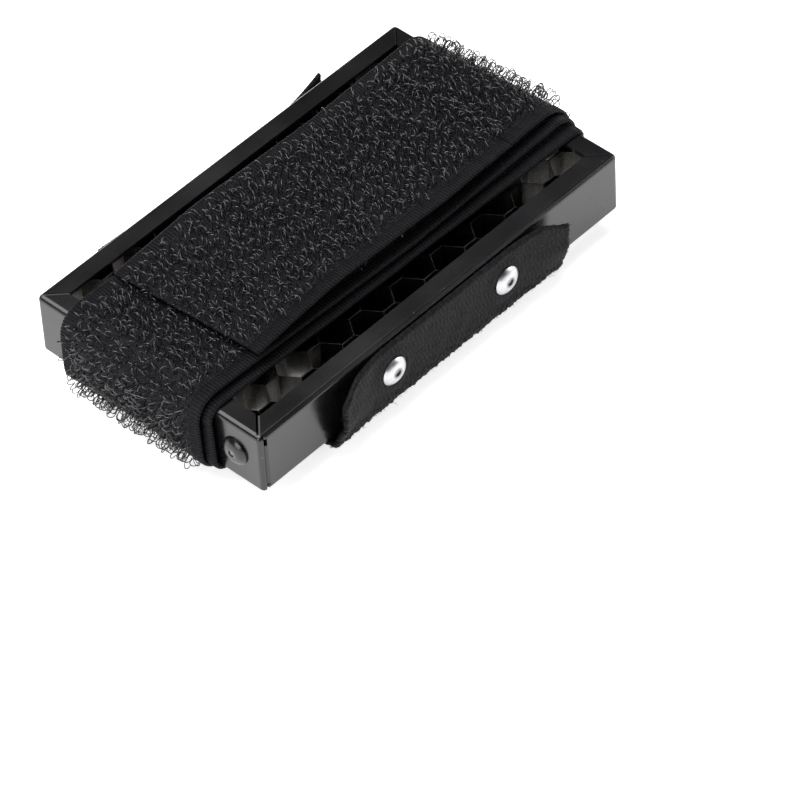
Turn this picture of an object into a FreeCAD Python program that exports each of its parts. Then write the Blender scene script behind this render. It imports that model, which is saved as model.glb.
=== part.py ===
"""Honeycomb grid for a hot-shoe flash, packed with its hook tape strap wound round it.

A strip of painted sheet steel is folded into a shallow rectangular frame with
lips on both faces and closed with one blind rivet. It holds a core of fifteen
corrugated foil ribbons. Two loop fabric tabs are riveted to the long walls and
fold under the frame, and a hook tape strap goes round the whole lengthwise.

Millimetres, +Z up. The origin is on the surface that the grid lies on, under
the middle of the frame. X runs along the frame's long side.
"""
import FreeCAD, Part
import math
import os
import re

SIZES = [
    ("frame_width", 88.0, "outside length of the frame's long walls"),
    ("frame_depth", 51.5, "outside length of the frame's short walls"),
    ("frame_height", 12.8, "height of the frame from lip to lip"),
    ("sheet", 0.8, "thickness of the folded sheet steel"),
    ("lip_width", 3.9, "width of the lips round both faces"),
    ("bend_radius", 0.9, "outside radius of the folds"),
    ("mitre_gap", 0.15, "slit between two mitred lips"),
    ("closing_gap", 0.1, "slit where the strip's two ends meet"),
    ("closing_mitre", 0.35, "slit between the lips at the closing corner"),
    ("flange_length", 9.0, "inner flange behind the closing corner"),
    ("notch_width", 0.7, "relief notches in the closing corner"),
    ("notch_height", 1.5, "height of each relief notch"),
    ("foil", 0.12, "thickness of the core's foil"),
    ("cell", 6.3, "core cell, from flat to flat"),
    ("column", 4.975, "distance between two columns of cells"),
    ("cell_flat", 2.9, "length of a glued flat"),
    ("core_gap", 0.2, "gap between the core and the rivets' upset ends"),
    ("tab_width", 56.0, "width of a fabric tab along the frame"),
    ("tab_thickness", 1.3, "thickness of the loop fabric"),
    ("tab_straight", 34.0, "middle stretch of a tab that lies on the wall"),
    ("tab_standoff", 3.0, "how far a tab's ends bow away from the wall"),
    ("fold_offset", 0.1, "from a tab's middle line out to the axis that it folds about"),
    ("near_tab_drop", 0.7, "from the frame's top face down to the near tab's edge"),
    ("far_tab_drop", 2.1, "from the frame's top face down to the far tab's edge"),
    ("flap_knee", 1.0, "from the strap's further edge out to where a flap slopes up"),
    ("flap_end", 0.9, "from the middle of the frame to a flap's end"),
    ("clearance", 0.3, "free space between pieces that move past each other"),
    ("rivet_spacing", 27.8, "distance between the two rivets of a tab"),
    ("corner_rivet_inset", 6.0, "closing rivet, from the near wall's face"),
    ("rivet_head", 5.4, "diameter of a rivet's head"),
    ("rivet_dome", 1.1, "height of a rivet's head"),
    ("rivet_rim", 0.3, "thickness of the head at its rim"),
    ("rivet_plateau", 1.9, "diameter of the flat round the mandrel"),
    ("rivet_shank", 2.4, "diameter of a rivet's shank"),
    ("rivet_bulb", 3.4, "diameter of the upset end inside the frame"),
    ("bulb_length", 1.1, "length of the upset end"),
    ("mandrel", 1.3, "diameter of the mandrel stub left in a rivet"),
    ("mandrel_recess", 0.35, "mandrel stub, below the top of the head"),
    ("strap_width", 32.2, "width of the hook tape"),
    ("strap_near", 15.4, "from the frame's middle to the strap's near edge"),
    ("strap_layer", 1.5, "thickness of one layer of tape, hooks pressed down"),
    ("strap_arch", 0.9, "rise of the outer top layer above the one below"),
    ("strap_radius", 5.0, "outside radius of the outermost turn"),
    ("bend_reach", 4.5, "level run of a strap's bend beyond its radius"),
    ("left_gap", 1.2, "gap between the frame and the strap at the left"),
    ("right_gap", 0.2, "gap between the frame and the strap at the right"),
    ("free_end", 33.5, "from the frame's middle to the strap's free end"),
    ("peel_line", 0.0, "where the strap's free end starts to peel, along X"),
]

doc = FreeCAD.newDocument("speedlight_grid")
sheet = doc.addObject("Spreadsheet::Sheet", "sizes")
for row, (name, number, meaning) in enumerate(SIZES, start=1):
    sheet.set(f"A{row}", name)
    sheet.set(f"B{row}", str(number))
    sheet.set(f"C{row}", meaning)
    sheet.setAlias(f"B{row}", name)
doc.recompute()

ALIASES = {name for name, number, meaning in SIZES}

# Places that several pieces share, as expressions over the sheet's names.
LEFT = "(-frame_width / 2)"
RIGHT = "(frame_width / 2)"
NEAR = "(-frame_depth / 2)"
FAR = "(frame_depth / 2)"
UNDER_OUTER = "(tab_thickness + clearance)"
UNDER_INNER = f"({UNDER_OUTER} + strap_layer)"
BOTTOM = f"({UNDER_INNER} + strap_layer)"
TOP = f"({BOTTOM} + frame_height)"
MIDDLE = f"({BOTTOM} + frame_height / 2)"
TOP_INNER = TOP
TOP_MIDDLE = f"({TOP_INNER} + strap_layer)"
TOP_OUTER = f"({TOP_MIDDLE} + strap_layer + strap_arch)"
FLANGE = f"({LEFT} + sheet + closing_gap)"
CORE_HEIGHT = "(frame_height - 2 * sheet)"
CORE_LENGTH = "(frame_width - 2 * (2 * sheet + closing_gap + bulb_length + core_gap))"
HINGE_Y = "(frame_depth / 2 + tab_thickness / 2 + fold_offset)"
HINGE_Z = f"({BOTTOM} - tab_thickness / 2 - fold_offset)"
OVER = 1.0  # how far a cutting solid runs past what it cuts
BITE = 0.05  # how far a cut reaches past the face that it opens, and the flange's free play
ROOT_IN = 0.1  # how far in from the walls' inner corner a mitre slit starts
# Where a rivet's domed head passes on its way from the flat to the rim: shares of width and rise.
SHOULDER_OUT = 0.62
SHOULDER_UP = 0.66

made = []


def in_sheet(expression):
    """The expression with every size's name pointing into the sheet."""
    return re.sub(
        r"[a-z_]+",
        lambda word: f"sizes.{word[0]}" if word[0] in ALIASES else word[0],
        str(expression),
    )


def value(expression):
    """The number that an expression over the sheet gives."""
    return float(sheet.evalExpression(in_sheet(expression)))


def bind(thing, **expressions):
    """Tie properties to the sheet; x, y and z place the piece."""
    places = {"x": "Placement.Base.x", "y": "Placement.Base.y", "z": "Placement.Base.z"}
    for name, expression in expressions.items():
        thing.setExpression(places.get(name, name), in_sheet(expression))
    return thing


def box(label, x, y, z):
    """A box between two expressions along each axis."""
    block = doc.addObject("Part::Box", label)
    spans = {}
    for side, (low, high) in (("Length", x), ("Width", y), ("Height", z)):
        spans[side] = f"({high}) - ({low})"
    return bind(block, x=x[0], y=y[0], z=z[0], **spans)


def rod(label, radius, length, start, direction):
    """A cylinder from start along direction."""
    pin = doc.addObject("Part::Cylinder", label)
    turn = FreeCAD.Rotation(FreeCAD.Vector(0, 0, 1), FreeCAD.Vector(*direction))
    pin.Placement = FreeCAD.Placement(FreeCAD.Vector(0, 0, 0), turn)
    return bind(pin, Radius=radius, Height=length, x=start[0], y=start[1], z=start[2])


def cut(label, base, tool):
    """Base without tool."""
    result = doc.addObject("Part::Cut", label)
    result.Base = base
    result.Tool = tool
    return result


def join(label, pieces):
    """Several solids fused into one tool or one piece."""
    result = doc.addObject("Part::MultiFuse", label)
    result.Shapes = pieces
    return result


def keep(piece, label):
    """Name a finished sub-part."""
    piece.Label = label
    made.append(piece)
    return piece


def lines(points):
    """Closed run of straight sketch lines through points."""
    corners = [FreeCAD.Vector(a, b, 0) for a, b in points]
    ends = corners[1:] + corners[:1]
    return [Part.LineSegment(a, b) for a, b in zip(corners, ends)]


def arc(start, through, end):
    """Sketch arc through three points."""
    return Part.Arc(*(FreeCAD.Vector(a, b, 0) for a, b in (start, through, end)))


def sketch_body(label, role, geometry):
    """A body with one sketch on its own origin plane."""
    body = doc.addObject("PartDesign::Body", label)
    sketch = body.newObject("Sketcher::SketchObject", f"{label}_profile")
    plane = next(p for p in body.Origin.OriginFeatures if p.Role == role)
    sketch.AttachmentSupport = [(plane, "")]
    sketch.MapMode = "FlatFace"
    sketch.addGeometry(geometry, False)
    return body, sketch


def padded(label, role, geometry, length, backwards=False):
    """A body that pads one profile to a length from the sheet."""
    body, sketch = sketch_body(label, role, geometry)
    pad = body.newObject("PartDesign::Pad", f"{label}_pad")
    pad.Profile = sketch
    pad.Reversed = backwards
    bind(pad, Length=length)
    body.Tip = pad
    return body


def folded_shell():
    """Rounded box, hollow, with a window that leaves the lips on both faces."""
    blank = box("strip_blank", (LEFT, RIGHT), (NEAR, FAR), (BOTTOM, TOP))
    doc.recompute()
    rounded = doc.addObject("Part::Fillet", "strip_folds")
    rounded.Base = blank
    radius = value("bend_radius")
    rounded.Edges = [(edge + 1, radius, radius) for edge in range(len(blank.Shape.Edges))]
    cavity = box(
        "strip_cavity",
        (f"{LEFT} + sheet", f"{RIGHT} - sheet"),
        (f"{NEAR} + sheet", f"{FAR} - sheet"),
        (f"{BOTTOM} + sheet", f"{TOP} - sheet"),
    )
    window = box(
        "strip_window",
        (f"{LEFT} + lip_width", f"{RIGHT} - lip_width"),
        (f"{NEAR} + lip_width", f"{FAR} - lip_width"),
        (f"{BOTTOM} - {OVER}", f"{TOP} + {OVER}"),
    )
    return cut("strip_shell", rounded, join("strip_hollows", [cavity, window]))


def mitre_slits(name, side_x, side_y, gap):
    """Two thin blades along a corner's mitres, through one lip each."""
    heading = math.degrees(math.atan2(-side_y, -side_x))
    offset = f"{gap} * {math.sqrt(2) / 4:.4f}"
    blades = []
    for level, low in (("low", f"{BOTTOM} - {OVER}"), ("high", f"{TOP} - sheet")):
        blade = doc.addObject("Part::Box", f"mitre_{name}_{level}")
        bind(
            blade,
            Length=f"(lip_width - sheet) * {math.sqrt(2):.4f} + {OVER}",
            Width=gap,
            Height=f"sheet + {OVER}",
            x=f"{side_x} * (frame_width / 2 - sheet - {ROOT_IN}) + {side_y} * {offset}",
            y=f"{side_y} * (frame_depth / 2 - sheet - {ROOT_IN}) - {side_x} * {offset}",
            z=low,
        )
        blade.Placement.Rotation = FreeCAD.Rotation(FreeCAD.Vector(0, 0, 1), heading)
        blades.append(blade)
    return blades


def closing_cuts():
    """Slit, rounded fold and two relief notches where the strip's ends meet."""
    tall = (f"{BOTTOM} - {OVER}", f"{TOP} + {OVER}")
    through_wall = (f"{NEAR} - {OVER}", f"{NEAR} + sheet + {BITE}")
    slit = box("closing_slit", (f"{LEFT} + sheet", FLANGE), through_wall, tall)
    square_x = (FLANGE, f"{FLANGE} + bend_radius")
    square = box("fold_square", square_x, (NEAR, f"{NEAR} + bend_radius"), tall)
    round_rod = rod(
        "fold_round",
        "bend_radius",
        f"frame_height + 4 * {OVER}",
        (f"{FLANGE} + bend_radius", f"{NEAR} + bend_radius", f"{BOTTOM} - 2 * {OVER}"),
        (0, 0, 1),
    )
    notch_x = (f"{LEFT} + sheet", f"{FLANGE} + notch_width")
    notch_z = (f"{TOP} - bend_radius - notch_height", f"{TOP} - bend_radius")
    high = box("notch_high", notch_x, through_wall, notch_z)
    low = box("notch_low", notch_x, through_wall, (f"{BOTTOM} - {OVER}", f"{BOTTOM} + notch_height"))
    return [slit, cut("fold_waste", square, round_rod), high, low]


def rivet_seats():
    """Centre, outward direction and clamped thickness of the five rivets."""
    half = "rivet_spacing / 2"
    seats = {}
    for side, wall, out in (("near", NEAR, -1), ("far", FAR, 1)):
        face = f"{wall} + {out} * tab_thickness"
        grip = "tab_thickness + sheet"
        seats[f"{side}_rivet_left"] = ((f"-{half}", face, MIDDLE), (0, out, 0), grip)
        seats[f"{side}_rivet_right"] = ((half, face, MIDDLE), (0, out, 0), grip)
    corner = (LEFT, f"{NEAR} + corner_rivet_inset", MIDDLE)
    seats["corner_rivet"] = (corner, (-1, 0, 0), "2 * sheet + closing_gap")
    return seats


def hole(name, seat):
    """Through hole for one rivet, from outside its head to inside the frame."""
    (x, y, z), out, grip = seat
    start = (f"{x} + {out[0]} * {OVER}", f"{y} + {out[1]} * {OVER}", z)
    inward = (-out[0], -out[1], 0)
    return rod(f"hole_{name}", "rivet_shank / 2", f"{grip} + 2 * {OVER}", start, inward)


def frame_channel(seats):
    """The folded strip: shell, inner flange, slits and rivet holes."""
    flange = box(
        "closing_flange",
        (FLANGE, f"{FLANGE} + sheet"),
        (NEAR, f"{NEAR} + flange_length"),
        (f"{BOTTOM} + sheet + {BITE}", f"{TOP} - sheet - {BITE}"),
    )
    strip = join("strip_with_flange", [folded_shell(), flange])
    waste = closing_cuts()
    waste += mitre_slits("closing", -1, -1, "closing_mitre")
    for name, side_x, side_y in (("a", -1, 1), ("b", 1, 1), ("c", 1, -1)):
        waste += mitre_slits(name, side_x, side_y, "mitre_gap")
    for name, seat in seats.items():
        waste.append(hole(f"{name}_frame", seat))
    keep(cut("frame_strip", strip, join("strip_waste", waste)), "frame_channel")


def wave(rising):
    """Middle line of a ribbon: flats at both heights, joined by slants."""
    column = value("column")
    flat = value("cell_flat") / 2
    height = (value("cell") / 2 - value("foil")) / 2
    reach = value(CORE_LENGTH) / 2
    first = -math.ceil(reach / column) - 1
    corners = []
    for step in range(first, 1 - first):
        centre = (step + 0.5) * column
        side = 1 if (step % 2 == 0) == rising else -1
        corners.append((centre - flat, side * height))
        corners.append((centre + flat, side * height))
    return trim(corners, reach)


def trim(corners, reach):
    """The stretch of a run of points between -reach and reach along X."""
    kept = []
    for (x0, y0), (x1, y1) in zip(corners, corners[1:]):
        for x in (-reach, reach):
            if x0 < x < x1:
                kept.append((x, y0 + (y1 - y0) * (x - x0) / (x1 - x0)))
        if -reach <= x1 <= reach:
            kept.append((x1, y1))
    return kept


def shifted(points, distance):
    """A run of points moved sideways, with mitred corners."""
    moved = []
    last = len(points) - 1
    for index, (x, y) in enumerate(points):
        before = points[max(index - 1, 0)]
        here = points[index]
        after = points[min(index + 1, last)]
        arriving = math.atan2(here[1] - before[1], here[0] - before[0]) if index else None
        leaving = math.atan2(after[1] - here[1], after[0] - here[0]) if index < last else None
        arriving = leaving if arriving is None else arriving
        leaving = arriving if leaving is None else leaving
        middle = (arriving + leaving) / 2
        reach = distance / math.cos((leaving - arriving) / 2)
        if index in (0, last):
            moved.append((x, y + distance / math.cos(middle)))
        else:
            moved.append((x - reach * math.sin(middle), y + reach * math.cos(middle)))
    return moved


def core_ribbons():
    """Corrugated foil ribbons, glued flat to flat, that fill the frame."""
    pitch = "(cell / 2)"
    room = "(frame_depth - 2 * (sheet + bulb_length + core_gap))"
    count = int(value(f"{room} / {pitch}"))
    half_foil = value("foil") / 2
    for index in range(count):
        middle_line = wave(rising=index % 2 == 0)
        outline = shifted(middle_line, half_foil) + shifted(middle_line, -half_foil)[::-1]
        label = f"core_ribbon_{index + 1:02d}"
        ribbon = padded(label, "XY_Plane", lines(outline), CORE_HEIGHT)
        offset = index - (count - 1) / 2
        bind(ribbon, y=f"{offset} * {pitch}", z=f"{BOTTOM} + sheet")
        keep(ribbon, label)


def tab_outline(out):
    """A tab from above: straight on the wall, both ends bowed away on an arc."""
    wall = value(FAR) * out
    straight = value("tab_straight") / 2
    run = value("tab_width") / 2 - straight
    rise = value("tab_standoff")
    thickness = value("tab_thickness")
    inner = (run * run + rise * rise) / (2 * rise)
    turn = math.asin(run / inner)
    centre = wall + out * inner

    def on_arc(side, radius, angle):
        across = side * (straight + radius * math.sin(angle))
        return (across, centre - out * radius * math.cos(angle))

    outline = []
    rows = (inner, inner - thickness)
    for side in (-1, 1):
        for radius in rows:
            points = [on_arc(side, radius, turn * share) for share in (0, 0.5, 1)]
            outline.append(arc(*points))
        tips = [on_arc(side, radius, turn) for radius in rows]
        outline.append(Part.LineSegment(*(FreeCAD.Vector(a, b, 0) for a, b in tips)))
    for radius in rows:
        ends = [on_arc(side, radius, 0) for side in (-1, 1)]
        outline.append(Part.LineSegment(*(FreeCAD.Vector(a, b, 0) for a, b in ends)))
    return outline


def tab(side, out, seats):
    """One loop fabric tab: the riveted root and the flap folded under."""
    low = f"{HINGE_Z} + tab_thickness / 2 + clearance"
    height = f"({TOP} - {side}_tab_drop) - ({low})"
    root = padded(f"{side}_root_blank", "XY_Plane", tab_outline(out), height)
    bind(root, z=low)
    names = [f"{side}_rivet_left", f"{side}_rivet_right"]
    holes = join(f"{side}_root_holes", [hole(f"{name}_tab", seats[name]) for name in names])
    keep(cut(f"{side}_root_pierced", root, holes), f"{side}_tab_root")

    label = f"{side}_tab_flap"
    flap = padded(label, "YZ_Plane", flap_outline(out), "tab_width")
    bind(flap, x="-tab_width / 2")
    keep(flap, label)


def flap_outline(out):
    """A flap from its end: round at the fold, sloping down, then flat."""
    half = value("tab_thickness") / 2
    fold = (value(HINGE_Y) * out, value(HINGE_Z))
    strap_edge = max(value("strap_near"), value("strap_width - strap_near"))
    knee = (out * (strap_edge + value("flap_knee")), half)
    end = out * value("flap_end")
    slope = math.atan2(fold[1] - knee[1], abs(fold[0] - knee[0]))
    lean = (out * half * math.sin(slope), half * math.cos(slope))
    top = (fold[0] - lean[0], fold[1] + lean[1])
    under = (fold[0] + lean[0], fold[1] - lean[1])
    outside = (fold[0] + out * half * math.cos(slope), fold[1] + half * math.sin(slope))
    bend = half * math.tan(slope / 2)
    knee_top = (knee[0] - out * bend, 2 * half)
    knee_under = (knee[0] + out * bend, 0.0)
    corners = [top, knee_top, (end, 2 * half), (end, 0.0), knee_under, under]
    straights = lines(corners)[:-1]
    return straights + [arc(under, outside, top)]


def rivet_outline(grip):
    """Half section of a set blind rivet, with its seat at height zero."""
    head = value("rivet_head") / 2
    shank = value("rivet_shank") / 2
    bulb = value("rivet_bulb") / 2
    bore = value("mandrel") / 2
    plateau = value("rivet_plateau") / 2
    dome = value("rivet_dome")
    rim = value("rivet_rim")
    clamped = -value(grip)
    blind = clamped - value("bulb_length")
    corners = [(head, rim), (head, 0), (shank, 0), (shank, clamped), (bulb, clamped)]
    corners += [(bulb, blind), (bore, blind), (bore, dome), (plateau, dome)]
    shoulder = (plateau + (head - plateau) * SHOULDER_OUT, rim + (dome - rim) * SHOULDER_UP)
    return lines(corners)[:-1] + [arc((plateau, dome), shoulder, (head, rim))]


def rivets(seats):
    """Five set blind rivets, and the mandrel stub left inside each."""
    for name, ((x, y, z), out, grip) in seats.items():
        body, sketch = sketch_body(name, "XZ_Plane", rivet_outline(grip))
        spin = body.newObject("PartDesign::Revolution", f"{name}_turned")
        spin.Profile = sketch
        spin.ReferenceAxis = (sketch, ["V_Axis"])
        spin.Angle = 360
        body.Tip = spin
        turn = FreeCAD.Rotation(FreeCAD.Vector(0, 0, 1), FreeCAD.Vector(*out))
        body.Placement = FreeCAD.Placement(FreeCAD.Vector(0, 0, 0), turn)
        bind(body, x=x, y=y, z=z)
        keep(body, name)

        depth = f"({grip} + bulb_length)"
        start = (f"{x} - {out[0]} * {depth}", f"{y} - {out[1]} * {depth}", z)
        length = f"{depth} + rivet_dome - mandrel_recess"
        stub = name.replace("rivet", "mandrel")
        keep(rod(stub, "mandrel / 2", length, start, out), stub)


def strap_plate(label, x, low):
    """A level stretch of one layer of the strap."""
    plate = box(label, x, ("-strap_near", "strap_width - strap_near"), (low, f"{low} + strap_layer"))
    keep(plate, label)


def strap_bend(label, side, turn, joint, low, high):
    """One layer round an end of the frame: level, round, upright, round, level.

    turn is its outer face and radius, joint is where it meets the level layers,
    low and high are the undersides of the layers that it joins.
    """
    thickness = value("strap_layer")
    wall, outer = (value(size) for size in turn)
    inner = outer - thickness
    start = value(joint)
    bottom, top = value(low), value(high) + thickness
    corner = wall - side * outer
    slant = math.sqrt(0.5)
    outline = []
    for radius in (outer, inner):
        reach = corner + side * radius
        heights = []
        for level, up in ((bottom, -1), (top, 1)):
            centre = level - up * outer
            flat = centre + up * radius
            middle = (corner + side * radius * slant, centre + up * radius * slant)
            ends = (FreeCAD.Vector(start, flat, 0), FreeCAD.Vector(corner, flat, 0))
            outline.append(Part.LineSegment(*ends))
            outline.append(arc((corner, flat), middle, (reach, centre)))
            heights.append(centre)
        outline.append(Part.LineSegment(*(FreeCAD.Vector(reach, level, 0) for level in heights)))
    for level in (bottom, top - thickness):
        ends = (FreeCAD.Vector(start, level, 0), FreeCAD.Vector(start, level + thickness, 0))
        outline.append(Part.LineSegment(*ends))
    body = padded(label, "XZ_Plane", outline, "strap_width", backwards=True)
    bind(body, y="-strap_near")
    keep(body, label)


def strap():
    """Hook tape wound two and a half times round the frame, free end on top."""
    left_joint = f"({LEFT} - left_gap - 2 * strap_layer + strap_radius + bend_reach)"
    right_joint = f"({RIGHT} + right_gap + 3 * strap_layer - strap_radius - bend_reach)"
    level = (left_joint, right_joint)
    strap_plate("strap_under_outer", level, UNDER_OUTER)
    strap_plate("strap_under_inner", level, UNDER_INNER)
    strap_plate("strap_top_inner", level, TOP_INNER)
    strap_plate("strap_top_middle", level, TOP_MIDDLE)
    strap_plate("strap_top_outer", ("peel_line", right_joint), TOP_OUTER)
    free = ("-free_end", "peel_line - clearance")
    strap_plate("strap_free_end", free, TOP_OUTER)

    def turn(side, layer):
        """Outer face and radius of a layer's bend, counted out from the frame."""
        gap, layers = ("left_gap", 2) if side < 0 else ("right_gap", 3)
        face = f"({side} * (frame_width / 2 + {gap} + {layer} * strap_layer))"
        return face, f"(strap_radius - {layers - layer} * strap_layer)"

    strap_bend("strap_left_outer", -1, turn(-1, 2), left_joint, UNDER_OUTER, TOP_MIDDLE)
    strap_bend("strap_left_inner", -1, turn(-1, 1), left_joint, UNDER_INNER, TOP_INNER)
    strap_bend("strap_right_outer", 1, turn(1, 3), right_joint, UNDER_OUTER, TOP_OUTER)
    strap_bend("strap_right_middle", 1, turn(1, 2), right_joint, UNDER_INNER, TOP_MIDDLE)
    strap_start(turn(1, 1), right_joint, f"{UNDER_INNER} + {turn(1, 2)[1]}")


def strap_start(turn, joint, end):
    """Innermost layer at the right: it ends on the short wall, where the next one bends."""
    thickness = value("strap_layer")
    wall, outer = (value(size) for size in turn)
    start = value(joint)
    top, foot = value(TOP_INNER) + thickness, value(end)
    corner, centre = wall - outer, top - outer
    slant = math.sqrt(0.5) * outer
    inside = outer - thickness
    hook = math.sqrt(0.5) * inside
    outline = [
        arc((corner, top), (corner + slant, centre + slant), (wall, centre)),
        arc((corner, top - thickness), (corner + hook, centre + hook), (corner + inside, centre)),
    ]
    path = [(wall, centre), (wall, foot), (corner + inside, foot), (corner + inside, centre)]
    outline += lines(path)[:-1]
    path = [(corner, top - thickness), (start, top - thickness), (start, top), (corner, top)]
    outline += lines(path)[:-1]
    body = padded("strap_right_inner", "XZ_Plane", outline, "strap_width", backwards=True)
    bind(body, y="-strap_near")
    keep(body, "strap_right_inner")


def check():
    """Stop if any object failed or any sub-part isn't one sound solid or group."""
    for thing in doc.Objects:
        if "Invalid" in thing.State or "Error" in thing.State:
            raise RuntimeError(f"{thing.Label} is {thing.State}")
    for piece in made:
        shape = piece.Shape
        if shape.isNull() or not shape.isValid() or not shape.Solids:
            raise RuntimeError(f"{piece.Label} has no sound shape")
        if len(shape.Solids) != 1:
            raise RuntimeError(f"{piece.Label} fell into {len(shape.Solids)} solids")


def main():
    """Build every sub-part, check them and write one STEP file for each."""
    seats = rivet_seats()
    frame_channel(seats)
    core_ribbons()
    tab("near", -1, seats)
    tab("far", 1, seats)
    rivets(seats)
    strap()
    doc.recompute()
    check()
    os.makedirs("parts", exist_ok=True)
    for piece in made:
        piece.Shape.exportStep(os.path.join("parts", f"{piece.Label}.step"))
        bounds = piece.Shape.BoundBox
        print(
            f"{piece.Label:20s} {piece.Shape.Volume:9.2f} mm3  "
            f"x {bounds.XMin:7.2f} {bounds.XMax:7.2f}  y {bounds.YMin:7.2f} {bounds.YMax:7.2f}  "
            f"z {bounds.ZMin:6.2f} {bounds.ZMax:6.2f}"
        )


main()
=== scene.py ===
import math

import bpy
import numpy as np
from bpy.props import FloatProperty, FloatVectorProperty, IntProperty, PointerProperty
from mathutils import Matrix, Quaternion, Vector


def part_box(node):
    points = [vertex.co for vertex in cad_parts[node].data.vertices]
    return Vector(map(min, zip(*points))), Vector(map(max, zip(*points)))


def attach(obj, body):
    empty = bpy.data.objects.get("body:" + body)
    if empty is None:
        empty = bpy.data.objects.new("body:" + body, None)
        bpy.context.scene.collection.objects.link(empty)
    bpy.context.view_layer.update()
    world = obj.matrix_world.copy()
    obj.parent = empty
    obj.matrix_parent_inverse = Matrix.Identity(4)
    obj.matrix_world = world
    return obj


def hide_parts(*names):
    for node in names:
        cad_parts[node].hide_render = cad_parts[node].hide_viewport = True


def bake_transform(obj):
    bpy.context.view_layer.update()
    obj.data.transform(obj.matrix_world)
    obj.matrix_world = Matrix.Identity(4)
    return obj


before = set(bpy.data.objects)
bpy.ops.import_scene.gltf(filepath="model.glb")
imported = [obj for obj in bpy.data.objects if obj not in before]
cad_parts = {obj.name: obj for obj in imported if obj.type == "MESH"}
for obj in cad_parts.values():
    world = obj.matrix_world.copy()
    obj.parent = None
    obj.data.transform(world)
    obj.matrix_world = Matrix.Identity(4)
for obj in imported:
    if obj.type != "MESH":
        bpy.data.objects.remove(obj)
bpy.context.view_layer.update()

# A honeycomb grid for a hot-shoe flash, packed with its hook tape strap wound round it lengthwise.
# The frame, the foil core and the rivets keep their solids and get their finishes here. The two
# cloth tabs and the strap are made anew as cloth, with the strap's hooks and the tabs' threads.
# Everything is in metres in the grid's own frame: X along its long side, Z up, on the surface it
# lies on. MM turns the millimetres that a maker would use into metres.

bl_info = {
    "name": "Flash honeycomb grid",
    "version": (1, 0, 0),
    "blender": (4, 5, 0),
    "location": "3D View > Sidebar > Honeycomb grid",
    "description": "Finishes a packed honeycomb grid: paint, foil, rivets, cloth and hook tape",
    "category": "Object",
}

MM = 0.001
FRAME_LOW, FRAME_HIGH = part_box("frame_channel")
TAU = 2 * math.pi
SIDES = {-1: "near", 1: "far"}
# The point on the camera's axis that is nearest to the middle of the grid's footprint.
LOOKS_AT = (-2.10 * MM, -16.25 * MM, -12.61 * MM)


# ---------------------------------------------------------------- settings


class HoneycombGridStrap(bpy.types.PropertyGroup):
    """Sizes of the hook tape."""

    width: FloatProperty(
        name="Width", description="Width of the hook tape", default=32.2 * MM, unit="LENGTH")
    backing: FloatProperty(
        name="Backing", description="Thickness of the tape without its hooks",
        default=0.72 * MM, unit="LENGTH")
    selvedge: FloatProperty(
        name="Selvedge", description="Width of the ribbed band along each edge",
        default=2.6 * MM, unit="LENGTH")
    rib: FloatProperty(
        name="Rib", description="Distance between two ribs of the selvedge",
        default=0.6 * MM, unit="LENGTH")
    rib_height: FloatProperty(
        name="Rib height", description="Half the height of a rib", default=0.07 * MM, unit="LENGTH")


class HoneycombGridHooks(bpy.types.PropertyGroup):
    """Sizes of the hooks on the tape."""

    pitch: FloatProperty(
        name="Pitch", description="Distance between two hooks in a row",
        default=1.32 * MM, unit="LENGTH")
    height: FloatProperty(
        name="Height", description="Height of a hook above the tape",
        default=2.1 * MM, unit="LENGTH")
    crook: FloatProperty(
        name="Crook", description="Radius of a hook's bent end", default=0.68 * MM, unit="LENGTH")
    wire: FloatProperty(
        name="Wire", description="Thickness of the monofilament", default=0.19 * MM, unit="LENGTH")
    seed: IntProperty(name="Seed", description="Start of the hooks' random draws", default=7)


class HoneycombGridTabs(bpy.types.PropertyGroup):
    """Sizes of the cloth tabs."""

    thickness: FloatProperty(
        name="Thickness", description="Thickness of the loop cloth",
        default=1.2 * MM, unit="LENGTH")
    wale: FloatProperty(
        name="Wale", description="Distance between two columns of stitches",
        default=0.8 * MM, unit="LENGTH")
    course: FloatProperty(
        name="Course", description="Distance between two rows of stitches",
        default=0.62 * MM, unit="LENGTH")
    threads: IntProperty(
        name="Threads", description="Loose threads along the edges of a tab", default=170)


class HoneycombGridFinish(bpy.types.PropertyGroup):
    """Colours of the finishes."""

    paint: FloatVectorProperty(
        name="Paint", description="Powder coat of the frame", subtype="COLOR",
        default=(0.0055, 0.0055, 0.0062))
    foil: FloatVectorProperty(
        name="Foil", description="Foil of the core", subtype="COLOR", default=(0.25, 0.243, 0.232))
    aluminium: FloatVectorProperty(
        name="Aluminium", description="Bright rivets", subtype="COLOR", default=(0.5, 0.5, 0.51))
    steel: FloatVectorProperty(
        name="Steel", description="Mandrels left in the rivets", subtype="COLOR",
        default=(0.5, 0.5, 0.51))
    cloth: FloatVectorProperty(
        name="Cloth", description="Loop cloth of the tabs", subtype="COLOR",
        default=(0.0042, 0.0042, 0.0054))
    tape: FloatVectorProperty(
        name="Tape", description="Woven ground of the strap", subtype="COLOR",
        default=(0.0048, 0.0048, 0.006))
    nylon: FloatVectorProperty(
        name="Nylon", description="Monofilament of the hooks", subtype="COLOR",
        default=(0.012, 0.012, 0.014))


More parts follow.
